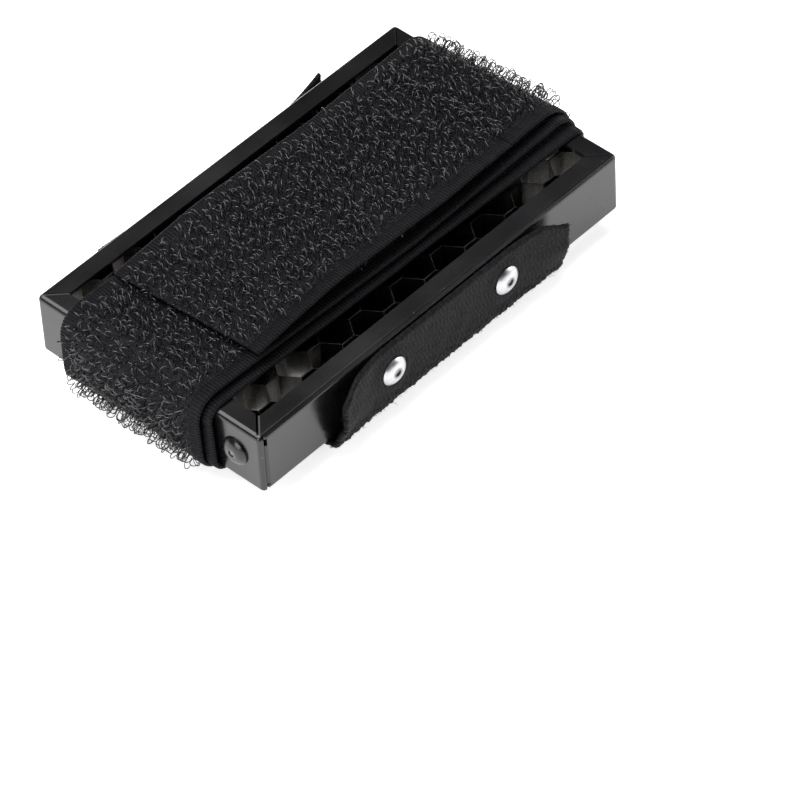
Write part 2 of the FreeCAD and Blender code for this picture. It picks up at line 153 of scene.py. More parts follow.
class HoneycombGridStage(bpy.types.PropertyGroup):
    """The floor, the lights and the camera."""

    floor: FloatVectorProperty(
        name="Floor", description="Colour of the floor", subtype="COLOR", default=(0.9, 0.9, 0.9))
    light: FloatProperty(
        name="Light", description="Strength of the overhead light", default=80.0, unit="POWER")
    lens: FloatProperty(
        name="Lens", description="Focal length of the camera in millimetres",
        default=243.2, unit="CAMERA")
    distance: FloatProperty(
        name="Distance", description="From the point that the camera looks at to the camera",
        default=0.92, unit="LENGTH")
    azimuth: FloatProperty(
        name="Azimuth", description="Turn of the camera from looking along Y",
        default=math.radians(-44.796), subtype="ANGLE")
    elevation: FloatProperty(
        name="Elevation", description="Height of the camera as an angle above the floor",
        default=math.radians(45.898), subtype="ANGLE")
    roll: FloatProperty(
        name="Roll", description="Turn of the camera about its own axis",
        default=math.radians(-3.542), subtype="ANGLE")


# ---------------------------------------------------------------- meshes


def quad_piece(name, vertices, quads, finishes, uv=None):
    """A smooth object of quads with its finishes; uv is given for each vertex."""
    quads = np.asarray(quads, np.int32).reshape(-1, 4)
    vertices = np.asarray(vertices, float).reshape(-1, 3)
    mesh = bpy.data.meshes.new(name)
    mesh.vertices.add(len(vertices))
    mesh.vertices.foreach_set("co", vertices.astype(np.float32).ravel())
    mesh.loops.add(quads.size)
    mesh.loops.foreach_set("vertex_index", outward(vertices, quads).ravel())
    mesh.polygons.add(len(quads))
    mesh.polygons.foreach_set("loop_start", np.arange(0, quads.size, 4, dtype=np.int32))
    mesh.polygons.foreach_set("use_smooth", np.ones(len(quads), bool))
    mesh.update(calc_edges=True)
    if uv is not None:
        corner = np.empty(len(mesh.loops), np.int32)
        mesh.loops.foreach_get("vertex_index", corner)
        layer = mesh.uv_layers.new(name="cloth")
        layer.data.foreach_set("uv", np.asarray(uv, np.float32).reshape(-1, 2)[corner].ravel())
    for finish in finishes:
        mesh.materials.append(finish)
    piece = bpy.data.objects.new(name, mesh)
    bpy.context.scene.collection.objects.link(piece)
    return piece


def outward(vertices, quads):
    """The quads turned to face outwards.

    A closed surface's volume is a sixth of the sum of its triangles' triple products, and it is
    negative when the faces look inwards.
    """
    a, b, c, d = (vertices[quads[:, k]] for k in range(4))
    volume = np.sum(a * np.cross(b, c)) + np.sum(a * np.cross(c, d))
    return quads if volume > 0 else quads[:, ::-1]


def tube_quads(stations, around):
    """Quads of one closed tube: rings of around vertices one after another.

    Side quads join each ring to the next. Each end is closed by strips straight across the ring,
    from its vertex k to its vertex around - 1 - k.
    """
    ring = np.arange(stations - 1)[:, None] * around
    side = np.arange(around)[None, :]
    near = ring + side
    nearer = ring + (side + 1) % around
    sides = np.stack([near, nearer, nearer + around, near + around], -1).reshape(-1, 4)
    across = np.arange(around // 2 - 1)
    strip = np.stack([across + 1, across, around - 1 - across, around - 2 - across], -1)
    return np.concatenate([sides, strip, strip[:, ::-1] + (stations - 1) * around])


def repeated(quads, each, count):
    """The same quads for count copies of a shape that has each vertices."""
    return (quads[None] + (np.arange(count) * each)[:, None, None]).reshape(-1, 4)


def smooth(value, start, end):
    """0 before start, 1 after end, and 3 t^2 - 2 t^3 between them."""
    t = np.clip((value - start) / (end - start), 0, 1)
    return t * t * (3 - 2 * t)


def ripple(a, b, length, seed, waves=7, lift=1.6):
    """Soft noise, mostly from -1 to 1, over two coordinates.

    It is the mean of a few sines in random directions whose wavelengths are near length, times
    lift because the sines partly cancel.
    """
    draw = np.random.default_rng(seed)
    total = 0.0
    for turn, stretch, phase in zip(draw.uniform(0, TAU, waves), draw.uniform(0.7, 1.6, waves),
                                    draw.uniform(0, TAU, waves)):
        along = a * math.cos(turn) + b * math.sin(turn)
        total = total + np.sin(TAU * along / (length * stretch) + phase)
    return total / waves * lift


ARC_POINTS = 25


def rounded_route(corners, radii, step):
    """Points about step apart on straight runs with an arc at each inner corner.

    An arc of radius r at a turn by angle g starts r tan(g / 2) before the corner and its points
    are centre + r (cos, sin). Returns the points, the unit tangents, the lengths along the route
    and the length at each corner.
    """
    corners = np.asarray(corners, float)
    line, mark = [corners[0]], [0]
    for before, corner, after, radius in zip(corners, corners[1:], corners[2:], radii):
        into = (corner - before) / np.linalg.norm(corner - before)
        out = (after - corner) / np.linalg.norm(after - corner)
        turn = math.acos(np.clip(into @ out, -1, 1))
        side = math.copysign(1.0, into[0] * out[1] - into[1] * out[0])
        start = corner - into * radius * math.tan(turn / 2)
        inward = np.array([-into[1], into[0]]) * side
        angle = np.linspace(0, turn, ARC_POINTS)[:, None]
        arc = start + radius * (np.sin(angle) * into + (1 - np.cos(angle)) * inward)
        mark.append(len(line) + ARC_POINTS // 2)
        line.extend(arc)
    line.append(corners[-1])
    mark.append(len(line) - 1)
    line = np.array(line)
    length = np.concatenate([[0], np.cumsum(np.linalg.norm(np.diff(line, axis=0), axis=1))])
    count = int(length[-1] / step) + 1
    along = np.linspace(0, length[-1], count)
    points = np.stack([np.interp(along, length, line[:, k]) for k in range(2)], -1)
    tangent = np.gradient(points, axis=0)
    tangent /= np.linalg.norm(tangent, axis=1)[:, None]
    return points, tangent, along, length[mark]


# ---------------------------------------------------------------- materials


class Finish:
    """A procedural material that is built node by node around one Principled shader."""

    def __init__(self, name, **values):
        self.material = bpy.data.materials.new(name)
        self.material.use_nodes = True
        self.tree = self.material.node_tree
        self.shader = self.tree.nodes["Principled BSDF"]
        for socket, value in values.items():
            self.shader.inputs[socket.replace("_", " ")].default_value = value
        self.place = self.tree.nodes.new("ShaderNodeTexCoord")

    def node(self, kind, inputs=(), **settings):
        """A node whose inputs are given in order: a number, a colour, a socket, or None."""
        made = self.tree.nodes.new("ShaderNode" + kind)
        for key, value in settings.items():
            setattr(made, key, value)
        for socket, value in zip(made.inputs, inputs):
            if isinstance(value, bpy.types.NodeSocket):
                self.tree.links.new(value, socket)
            elif value is not None:
                socket.default_value = value
        return made

    def math(self, operation, *inputs):
        return self.node("Math", inputs, operation=operation).outputs[0]

    def mapped(self, source, scale, rotation=(0, 0, 0)):
        made = self.node("Mapping", [source])
        made.inputs["Rotation"].default_value = rotation
        made.inputs["Scale"].default_value = scale
        return made.outputs[0]

    def noise(self, source, scale, detail, roughness=0.5):
        """Soft noise whose scale is in waves for each unit of the source."""
        made = self.node("TexNoise", [source])
        made.inputs["Scale"].default_value = scale
        made.inputs["Detail"].default_value = detail
        made.inputs["Roughness"].default_value = roughness
        return made.outputs["Fac"]

    def cells(self, source, scale, randomness):
        """The distance to the nearest of a grid of points that randomness moves about."""
        made = self.node("TexVoronoi", [source])
        made.inputs["Scale"].default_value = scale
        made.inputs["Randomness"].default_value = randomness
        return made.outputs["Distance"]

    def ranged(self, value, low, high, to_low, to_high):
        """The value taken from the range low to high onto to_low to to_high, and clamped."""
        return self.node("MapRange", [value, low, high, to_low, to_high]).outputs[0]

    def blend(self, factor, first, second):
        """Colour mix from first to second."""
        made = self.node("Mix", data_type="RGBA")
        for socket, value in ((made.inputs[0], factor), (made.inputs[6], first),
                              (made.inputs[7], second)):
            if isinstance(value, bpy.types.NodeSocket):
                self.tree.links.new(value, socket)
            else:
                socket.default_value = value
        return made.outputs[2]

    def relief(self, height, distance, strength, below=None):
        """Fine relief for the shader's normal, on top of the relief below it if there is one."""
        made = self.node("Bump")
        made.inputs["Strength"].default_value = strength
        made.inputs["Distance"].default_value = distance
        self.tree.links.new(height, made.inputs["Height"])
        if below is not None:
            self.tree.links.new(below, made.inputs["Normal"])
        return made.outputs[0]

    def feed(self, **sockets):
        """Links values to the shader's sockets and returns the finished material."""
        for name, value in sockets.items():
            self.tree.links.new(value, self.shader.inputs[name.replace("_", " ")])
        return self.material


def tint(colour, share=1.0):
    """A colour for a socket, made darker or lighter by share."""
    return tuple(min(1.0, part * share) for part in colour) + (1.0,)


def powder_coat(colour):
    """Satin black powder coat: orange peel, uneven gloss, a little dust, and a painted highlight
    along the mitres.
    """
    finish = Finish("powder_coat", Roughness=0.3, IOR=1.5)
    place = finish.place.outputs["Object"]
    peel = finish.noise(place, 2300, 2)
    patches = finish.noise(place, 70, 3)
    dust = finish.ranged(finish.noise(place, 1500, 0), 0.86, 0.89, 0.0, 0.3)
    coat = finish.blend(
        finish.ranged(patches, 0.3, 0.7, 0, 1), tint(colour, 0.85), tint(colour, 1.3))
    # The mitres run at 45 degrees, so |x| - |y| is the same all along them.
    x, y, z = finish.node("SeparateXYZ", [place]).outputs
    across = finish.math("SUBTRACT", finish.math("ABSOLUTE", x), finish.math("ABSOLUTE", y))
    off_mitre = finish.math(
        "ABSOLUTE", finish.math("SUBTRACT", across, FRAME_HIGH.x - FRAME_HIGH.y))
    # Painted highlight: a thin light line along each mitre on the top face, full at the left end and
    # faint at the right, standing in for light caught by the seam.
    edge = finish.ranged(off_mitre, 0.14 * MM, 0.26 * MM, 1.0, 0.0)
    top_face = finish.ranged(z, FRAME_HIGH.z - 0.2 * MM, FRAME_HIGH.z - 0.1 * MM, 0.0, 1.0)
    left_end = finish.ranged(x, -2 * MM, 0.0, 1.0, 0.12)
    wear_and_highlight = finish.math("MULTIPLY", finish.math("MULTIPLY", edge, top_face), left_end)
    # The coat with the painted mitre highlight laid over it.
    rub_and_highlight = finish.blend(wear_and_highlight, coat, (0.06, 0.06, 0.065, 1))
    return finish.feed(
        Base_Color=finish.blend(dust, rub_and_highlight, (0.16, 0.16, 0.16, 1)),
        Roughness=finish.ranged(patches, 0.3, 0.7, 0.2, 0.3),
        Normal=finish.relief(peel, 0.012 * MM, 0.35))


def core_foil(colour):
    """Blackened aluminium foil: drawn streaks along the cells and bare cut edges on both faces."""
    low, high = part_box("core_ribbon_01")
    finish = Finish("core_foil", Metallic=1.0)
    place = finish.place.outputs["Object"]
    streaks = finish.noise(finish.mapped(place, (1800, 1800, 60)), 1, 3)
    blotches = finish.noise(place, 420, 3)
    height = finish.node("SeparateXYZ", [place]).outputs[2]
    half = (high.z - low.z) / 2
    from_middle = finish.math("ABSOLUTE", finish.math("SUBTRACT", height, low.z + half))
    cut = finish.ranged(from_middle, half - 0.06 * MM, half - 0.02 * MM, 0, 1)
    shade = finish.blend(
        finish.ranged(streaks, 0.35, 0.7, 0, 1), tint(colour, 0.85), tint(colour, 1.15))
    return finish.feed(
        Base_Color=finish.blend(cut, shade, (0.16, 0.155, 0.15, 1)),
        Roughness=finish.ranged(blotches, 0.3, 0.7, 0.18, 0.24),
        Normal=finish.relief(streaks, 0.004 * MM, 0.1))


def turned_rings(finish, centre, across_axis, spacing):
    """The distance from a rivet's axis, and rings round it as the sine of that distance.

    centre is rivet_centre's, with the same axis across: 0 for X and 1 for Y.
    """
    x, y, z = finish.node("SeparateXYZ", [finish.place.outputs["Object"]]).outputs
    across = finish.math("SUBTRACT", finish.math("ABSOLUTE", (x, y)[across_axis]), centre[0])
    upward = finish.math("SUBTRACT", z, centre[1])
    square = finish.math("ADD", finish.math("MULTIPLY", across, across),
                         finish.math("MULTIPLY", upward, upward))
    radius = finish.math("SQRT", square)
    return radius, finish.math("SINE", finish.math("MULTIPLY", radius, TAU / spacing))


def rivet_centre(node, axis):
    """Where a rivet's axis stands: its distance from the middle across, and its height."""
    low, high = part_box(node)
    return abs(low[axis] + high[axis]) / 2, (low.z + high.z) / 2


def bright_aluminium(colour):
    """Bright rivets: fine rings left by the header, tiny dents and a painted dark ring at the mandrel
    for the shade in its bore.
    """
    finish = Finish("bright_aluminium", Metallic=1.0)
    radius, rings = turned_rings(finish, rivet_centre("near_rivet_left", 0), 0, 0.16 * MM)
    dents = finish.noise(finish.place.outputs["Object"], 900, 2)
    # Painted shade: within about 0.85 mm of the axis the head is darkened to under half, fading out
    # by 1.15 mm, for the shade in the bore's recess.
    bore_shade = finish.ranged(radius, 0.85 * MM, 1.15 * MM, 0.85, 0.0)
    rough = finish.math("ADD", finish.ranged(dents, 0.35, 0.7, 0.26, 0.38),
                        finish.ranged(rings, -1, 1, 0.0, 0.05))
    return finish.feed(
        Base_Color=finish.blend(bore_shade, tint(colour), tint(colour, 0.35)),
        Roughness=rough,
        Normal=finish.relief(finish.math("ADD", dents, finish.math("MULTIPLY", rings, 0.15)),
                             0.02 * MM, 0.35))


def black_rivet_coat(colour):
    """Painted rivet: glossier than the frame, and rubbed bare where the tool pressed on it."""
    finish = Finish("black_rivet_coat", Roughness=0.22)
    radius, _ = turned_rings(finish, rivet_centre("corner_rivet", 1), 1, 1.0 * MM)
    scuffs = finish.noise(finish.place.outputs["Object"], 1300, 3)
    rub_and_highlight = finish.math("MULTIPLY", finish.ranged(radius, 0.75 * MM, 1.2 * MM, 1.0, 0.0),
                         finish.ranged(scuffs, 0.45, 0.6, 0.0, 0.8))
    return finish.feed(
        Base_Color=finish.blend(rub_and_highlight, tint(colour), (0.12, 0.12, 0.12, 1)),
        Roughness=finish.ranged(scuffs, 0.3, 0.7, 0.16, 0.32),
        Normal=finish.relief(scuffs, 0.02 * MM, 0.3))


def broken_steel(colour):
    """Snapped mandrel: grey steel with the torn grain of the break."""
    finish = Finish("broken_steel", Metallic=1.0)
    grain = finish.noise(finish.place.outputs["Object"], 4200, 4, 0.7)
    return finish.feed(
        Base_Color=finish.blend(grain, tint(colour, 0.4), tint(colour, 1.5)),
        Roughness=finish.ranged(grain, 0.3, 0.7, 0.35, 0.6),
        Normal=finish.relief(grain, 0.09 * MM, 0.9))


def knitted_backing(colour, wale, course):
    """Outside of the loop cloth: slanting stitches in columns, each of a few filaments, with painted
    highlights for their shine.
    """
    finish = Finish("knitted_backing", Roughness=0.7, Specular_IOR_Level=0.14)
    flat = finish.place.outputs["UV"]
    stitch = finish.cells(finish.mapped(flat, (1 / wale, 1 / course, 1), (0, 0, 0.35)), 1, 0.35)
    filaments = finish.noise(finish.mapped(flat, (6000, 3600, 1), (0, 0, 0.6)), 1, 2)
    fuzz = finish.noise(flat, 5200, 2)
    # Painted highlight: where the filaments and the fuzz run high, the crowns are lightened to four
    # times the cloth's colour.
    shine = finish.ranged(finish.math("ADD", filaments, fuzz), 0.95, 1.4, 0.0, 1.0)
    crown = finish.ranged(stitch, 0.1, 0.55, 1.0, 0.0)
    shade = finish.blend(crown, tint(colour, 0.4), tint(colour, 1.7))
    knit = finish.relief(crown, 0.1 * MM, 0.8)
    return finish.feed(
        Base_Color=finish.blend(finish.math("MULTIPLY", shine, crown), shade, tint(colour, 4.0)),
        Roughness=finish.ranged(filaments, 0.3, 0.7, 0.45, 0.8),
        Normal=finish.relief(filaments, 0.05 * MM, 0.6, knit))


def loop_pile(colour):
    """Inside of the loop cloth: a matt nap of tiny loops."""
    finish = Finish("loop_pile", Roughness=0.9, Specular_IOR_Level=0.06)
    place = finish.place.outputs["Object"]
    loops = finish.relief(finish.cells(place, 2600, 1.0), 0.2 * MM, 0.8)
    fuzz = finish.noise(place, 6000, 3, 0.7)
    tips = finish.ranged(fuzz, 0.4, 0.75, 0, 1)
    return finish.feed(
        Base_Color=finish.blend(tips, tint(colour, 0.5), tint(colour, 3.0)),
        Normal=finish.relief(fuzz, 0.12 * MM, 0.8, loops))


def hook_tape(colour, settings):
    """Woven ground of the strap: ribbed selvedges, cross rows in the hook field, and painted glints
    in it.
    """
    finish = Finish("hook_tape", Roughness=0.6, Specular_IOR_Level=0.1)
    flat = finish.place.outputs["UV"]
    along, across, _ = finish.node("SeparateXYZ", [flat]).outputs
    ribs = finish.math("COSINE", finish.math("MULTIPLY", along, TAU / settings.rib))
    edge = finish.math("ABSOLUTE", across)
    border = settings.width / 2 - settings.selvedge
    band = finish.ranged(edge, border - 0.1 * MM, border + 0.1 * MM, 0.0, 1.0)
    stitches = finish.cells(finish.mapped(flat, (1 / (0.65 * MM), 1 / (0.5 * MM), 1)), 1, 0.5)
    weave = finish.ranged(stitches, 0.1, 0.6, 1.0, 0.0)
    yarn = finish.noise(finish.mapped(flat, (4200, 1300, 1)), 1, 3)
    # Painted glints: small light flecks in the hook field, out of the selvedges, for light caught by
    # the monofilament at the hooks' feet.
    painted_glints = finish.ranged(finish.noise(flat, 3400, 1), 0.66, 0.74, 0.0, 1.0)
    field = finish.math("MULTIPLY", finish.math("SUBTRACT", 1.0, band), painted_glints)
    height = finish.math("ADD", finish.math("MULTIPLY", ribs, finish.math("MULTIPLY", band, 0.5)),
                         finish.math("MULTIPLY", weave, finish.math("SUBTRACT", 1.0, band)))
    ground = finish.blend(
        finish.ranged(height, -0.5, 0.9, 0, 1), tint(colour, 0.35), tint(colour, 1.9))
    wear_and_highlight = finish.blend(finish.ranged(yarn, 0.5, 0.75, 0.0, 0.6), ground, tint(colour, 4.0))
    cloth = finish.relief(height, 0.14 * MM, 0.9)
    return finish.feed(
        Base_Color=finish.blend(field, wear_and_highlight, (0.07, 0.07, 0.078, 1)),
        Roughness=finish.ranged(yarn, 0.3, 0.7, 0.4, 0.7),
        Normal=finish.relief(yarn, 0.05 * MM, 0.6, cloth))


def hook_nylon(colour):
    """Glossy monofilament: smooth dyed nylon, a little scraped here and there."""
    finish = Finish("hook_nylon", IOR=1.53, Specular_IOR_Level=0.8)
    scrapes = finish.noise(finish.place.outputs["Object"], 700, 2)
    scraped = finish.ranged(scrapes, 0.4, 0.7, 0, 1)
    return finish.feed(
        Base_Color=finish.blend(scraped, tint(colour, 0.7), tint(colour, 2.2)),
        Roughness=finish.ranged(scrapes, 0.3, 0.7, 0.24, 0.36))


def loose_thread(colour):
    """Loose threads: dull fine yarn with a faint sheen."""
    finish = Finish("loose_thread", Roughness=0.6, Specular_IOR_Level=0.2)
    slubs = finish.noise(finish.place.outputs["Object"], 1600, 2)
    return finish.feed(Base_Color=finish.blend(slubs, tint(colour), tint(colour, 4.0)))


def paint_nodes(names, finish):
    """Gives the finish to every material slot of these solids."""
    for name in names:
        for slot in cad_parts[name].material_slots:
            slot.material = finish


# ---------------------------------------------------------------- cloth tabs


TAB_ROUTE_STEP = 0.26 * MM
TAB_STATIONS = 320
# A tab leaves the wall at this height and is level under the frame from this distance in, with
# these radii at the two places.
TAB_TURN = 3.75 * MM
TAB_KNEE = 18.1 * MM
TAB_RADII = (1.5 * MM, 9 * MM)
# Half the straight stretch on the wall, how far the left and right ends bow out beyond it, and how
# much is clipped off the upper corners.
TAB_STRAIGHT = 15 * MM
TAB_BOWS = {-1: (2.9 * MM, 2.1 * MM), 1: (0.8 * MM, 2.5 * MM)}
TAB_CLIP = {-1: 2.1 * MM, 1: 0.3 * MM}


def tab_surface(side, settings):
    """One tab as a ring of points for each station along the frame.

    Its middle line goes down the wall, round under the frame and in to the frame's middle: a
    rounded route in the distance from the middle and the height. The outer and the inner side lie
    half a thickness to each side of it along its normal. Stitches stand out of the outer side as
    the product of two sines, one along the frame and one down the tab, and a soft ripple lifts
    both. Beyond its straight middle the part on the wall bows out by a power of the distance,
    and its upper corners are clipped.
    """
    name = SIDES[side]
    low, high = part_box(name + "_tab_root")
    flap_low, flap_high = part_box(name + "_tab_flap")
    half = settings.thickness / 2
    wall = FRAME_HIGH.y + half + 0.05 * MM
    reach = (high.x - low.x) / 2
    end = min(abs(flap_low.y), abs(flap_high.y))
    floor = flap_low.z + half + 0.02 * MM
    corners = [(wall, high.z), (wall, TAB_TURN), (TAB_KNEE, floor), (end, floor)]
    points, tangent, along, marks = rounded_route(corners, TAB_RADII, TAB_ROUTE_STEP)
    normal = np.stack([-tangent[:, 1], tangent[:, 0]], -1)

    x = np.linspace(-1, 1, TAB_STATIONS)[:, None]
    s = along[None, :]
    clip = TAB_CLIP[side] * smooth(np.abs(x), 0.8, 1.0)
    share = s / along[-1]
    down = clip + share * (along[-1] - clip)
    fray = (0.2 * MM * ripple(s, 0 * s, 1.1 * MM, 3 + side)
            + 0.12 * MM * ripple(s, 0 * s, 0.5 * MM, 9))
    across = x * reach + np.sign(x) * fray * smooth(np.abs(x), 0.9, 1.0)
    middle, normal = (np.stack([np.interp(down, along, values[:, k]) for k in range(2)], -1)
                      for values in (points, normal))
    normal /= np.linalg.norm(normal, axis=-1)[..., None]

    fold = marks[1]
    left, right = (
        bow * np.clip((way * across - TAB_STRAIGHT) / (reach - TAB_STRAIGHT), 0, 2) ** 1.7
        for way, bow in zip((-1, 1), TAB_BOWS[side]))
    hold = 1 - 0.86 * smooth(down, fold - 6.5 * MM, fold + 0.3 * MM)
    on_wall = 1 - smooth(down, fold, fold + 3 * MM)
    bow = (left + right) * hold * on_wall

    lumps = ripple(across, down, 5 * MM, 21 + side)
    crease = np.exp(-((down - fold) / (2.2 * MM)) ** 2) * ripple(across, down, 1.2 * MM, 31 + side)
    slant = across + 0.35 * down
    stitches = (np.sin(TAU * slant / settings.wale)
                * np.sin(TAU * down / settings.course / 2 + 2.2 * ripple(across, down, 3 * MM, 5)))
    lift = 0.11 * MM * stitches + 0.06 * MM * lumps + 0.2 * MM * crease
    # The cloth is pressed in under each rivet's head and swells in a ring round it.
    pressed = 0.0
    for rivet in ("left", "right"):
        centre, height = rivet_centre(f"{name}_rivet_{rivet}", 0)
        centre = centre if rivet == "right" else -centre
        far = np.hypot(across - centre, middle[..., 1] - height)
        pressed = pressed + 0.2 * MM * np.exp(-((far - 3.5 * MM) / (0.8 * MM)) ** 2)
        pressed = pressed - 0.14 * MM * (1 - smooth(far, 2.2 * MM, 2.9 * MM))
    # Towards every edge the cloth thins to about a third.
    rim = np.minimum(down - clip, along[-1] - down)
    rim = np.minimum(rim, (1 - np.abs(x)) * reach)
    thin = 0.35 + 0.65 * np.sqrt(np.clip(rim / (0.5 * MM), 0, 1))

    def side_points(offset):
        from_middle = middle[..., 0] + normal[..., 0] * offset + bow
        height = middle[..., 1] + normal[..., 1] * offset
        return np.stack([across, side * from_middle, height], -1)

    outer = side_points(half * thin + (lift + pressed * on_wall) * smooth(rim, 0, 0.8 * MM))
    nap = 0.07 * MM * ripple(across, down, 0.9 * MM, 41 + side)
    inner = side_points(-half * thin - nap)
    flat = np.stack([across, down], -1)
    rings = np.concatenate([outer, inner[:, ::-1]], 1)
    uv = np.concatenate([flat, flat[:, ::-1]], 1)
    return rings, uv, {"down": down, "fold": fold, "outer": outer, "inner": inner,
                       "flat": (float(2 * reach), float(along[-1]))}


def tab_piece(side, settings, backing, pile):
    """A tab's mesh, knitted outside and napped inside, and the places that its threads need."""
    rings, uv, parts = tab_surface(side, settings)
    quads = tube_quads(*rings.shape[:2])
    piece = quad_piece(SIDES[side] + "_tab", rings, quads, (backing, pile), uv)
    first = np.empty(len(piece.data.loops), np.int32)
    piece.data.loops.foreach_get("vertex_index", first)
    inside = (first.reshape(-1, 4) % rings.shape[1]).min(1) >= rings.shape[1] // 2
    piece.data.polygons.foreach_set("material_index", inside.astype(np.int32))
    return piece, parts


def curly_threads(name, roots, way, lengths, radius, finish, seed):
    """Thin threads from each root along its way.

    The direction at each step is the way turned by a random curl that grows along the thread.
    """
    draw = np.random.default_rng(seed)
    count, steps, curl = len(roots), 9, 1.5
    way = way / np.linalg.norm(way, axis=1)[:, None]
    turn = draw.normal(0, 1, (count, 1, 3)) * np.linspace(0, curl, steps)[None, :, None]
    wobble = draw.normal(0, 0.35, (count, steps, 3))
    heading = way[:, None] + turn + wobble
    heading /= np.linalg.norm(heading, axis=-1)[..., None]
    path = roots[:, None] + np.cumsum(heading, 1) * (lengths / steps)[:, None, None]
    path = np.concatenate([roots[:, None], path], 1)
    return tubes(name, path, np.full(path.shape[:2], radius), finish)


def tubes(name, path, radius, finish, around=4):
    """Closed tubes along many paths: path is (tube, station, 3) and radius (tube, station).

    Around each station the ring is centre + r (cos a u + sin a v), where v is the path's tangent
    crossed with u, and u is a fixed side direction made square to the tangent.
    """
    tangent = np.gradient(path, axis=1)
    tangent /= np.linalg.norm(tangent, axis=-1)[..., None] + 1e-12
    guess = np.cross(tangent[:, :1], tangent[:, -1:]) + np.array([1e-4, 2e-4, 3e-4])
    u = guess - np.sum(guess * tangent, -1)[..., None] * tangent
    u /= np.linalg.norm(u, axis=-1)[..., None]
    v = np.cross(tangent, u)
    angle = np.arange(around) / around * TAU
    ring = (np.cos(angle)[:, None] * u[:, :, None, :] + np.sin(angle)[:, None] * v[:, :, None, :])
    points = path[:, :, None, :] + radius[..., None, None] * ring
    count, stations = path.shape[:2]
    quads = repeated(tube_quads(stations, around), stations * around, count)
    return quad_piece(name, points, quads, (finish,))


def tab_threads(side, parts, settings, yarn):
    """Loose threads on a tab's raw edges: its ends, its upper edge and its fold."""
    draw = np.random.default_rng(60 + side)
    outer, inner, down = parts["outer"], parts["inner"], parts["down"]
    columns, rows = down.shape
    count = settings.threads
    fold_row = int(np.argmin(np.abs(down[columns // 2] - parts["fold"])))
    at_fold = count * 5 // 10
    at_ends = count * 3 // 10
    at_top = count - at_fold - at_ends
    column = np.concatenate([
        draw.integers(2, columns - 2, at_fold),
        draw.choice([0, columns - 1], at_ends),
        draw.integers(0, columns, at_top)])
    row = np.concatenate([
        np.clip(fold_row + draw.integers(-7, 4, at_fold), 0, rows - 1),
        draw.integers(0, fold_row + 6, at_ends),
        np.zeros(at_top, int)])
    roots = outer[column, row] * 0.5 + inner[column, row] * 0.5
    roots[:at_fold] = outer[column[:at_fold], row[:at_fold]]
    away = outer[column, row] - inner[column, row]
    away /= np.linalg.norm(away, axis=1)[:, None]
    outwards = np.concatenate([
        away[:at_fold] + np.array([0, 0, -0.5]),
        np.stack([np.where(column[at_fold:at_fold + at_ends] == 0, -1.0, 1.0),
                  np.zeros(at_ends), np.zeros(at_ends)], -1),
        np.tile([0, -0.4 * side, 1.0], (at_top, 1))])
    lengths = draw.uniform(0.3, 1.0, count) ** 1.3 * MM
    name = SIDES[side] + "_tab_threads"
    return curly_threads(name, roots, outwards, lengths, 0.035 * MM, yarn, 80 + side)


# ---------------------------------------------------------------- strap


# The free end stops a little short of its solid, and is cut a little askew.
END_SPARE = 1.0 * MM
END_SLANT = 0.045
# The tape becomes the free piece this far after the corner where it last comes up onto the top.
SPLIT_AFTER_TURN = 14 * MM
# How much of the layer below shows between the free end and the left end's corner. Further in its
# hooks are pressed down.
UNCOVERED = 10.5 * MM
# Underneath, the hooks stand between each end of the frame and the tabs' cloth, which is this far in.
UNDER_TABS = 17 * MM
# The two pieces of tape run past the split by this much, each way.
LAP = 0.01 * MM
# The hooks and the stubs start this far inside the tape.
ROOTED = 0.08 * MM


def strap_route(settings):
    """The tape's line from its inner end out to its free end, seen from the near side.

    It is a rounded route through the corners where each turn passes the frame. On top each
    layer's level comes from the solid that it stands for; underneath and at the ends the layers
    lie one on another from the frame out. drift moves the tape sideways at each corner, and twist
    tips it.
    """
    half = settings.backing / 2
    ease = 0.05 * MM
    top = [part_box(f"strap_top_{layer}")[0].z + half + ease
           for layer in ("inner", "middle", "outer")]
    under = [FRAME_LOW.z - half - ease, FRAME_LOW.z - 3 * half - 2 * ease]
    left = [FRAME_LOW.x - 0.85 * MM - half, FRAME_LOW.x - 1.95 * MM - half]
    right = [FRAME_HIGH.x + gap * MM + half for gap in (0.1, 0.7, 1.3)]
    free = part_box("strap_free_end")[0].x - END_SPARE
    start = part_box("strap_right_inner")[0].z + 2.2 * MM
    corners = [
        (right[0], start), (right[0], top[0]), (left[0], top[0]), (left[0], under[0]),
        (right[1], under[0]), (right[1], top[1]), (4 * MM, top[1]), (left[1], top[1]),
        (left[1], under[1]), (right[2], under[1]), (right[2], top[2] - 1.45 * MM),
        (14 * MM, top[2] + 0.3 * MM), (-14 * MM, top[2] + 0.7 * MM),
        (free, top[1] + settings.backing + 1.1 * MM)]
    radii = [value * MM for value in (1.6, 2.6, 2.8, 2.4, 4.0, 9, 4.4, 4.4, 4.3, 6.4, 90, 90)]
    drift = [-1.7, -1.5, 0.3, -0.4, 0.9, 1.1, 0.3, 1.9, 1.7, 2.2, 3.2, 1.0, 1.3, 0.8]
    twist = [0.0, 0.0, 0.0, 0.0, 0.0, 0.015, 0.01, 0.01, 0.0, 0.0, 0.045, 0.055, 0.05, 0.025]
    return corners, radii, np.array(drift) * MM, np.array(twist)


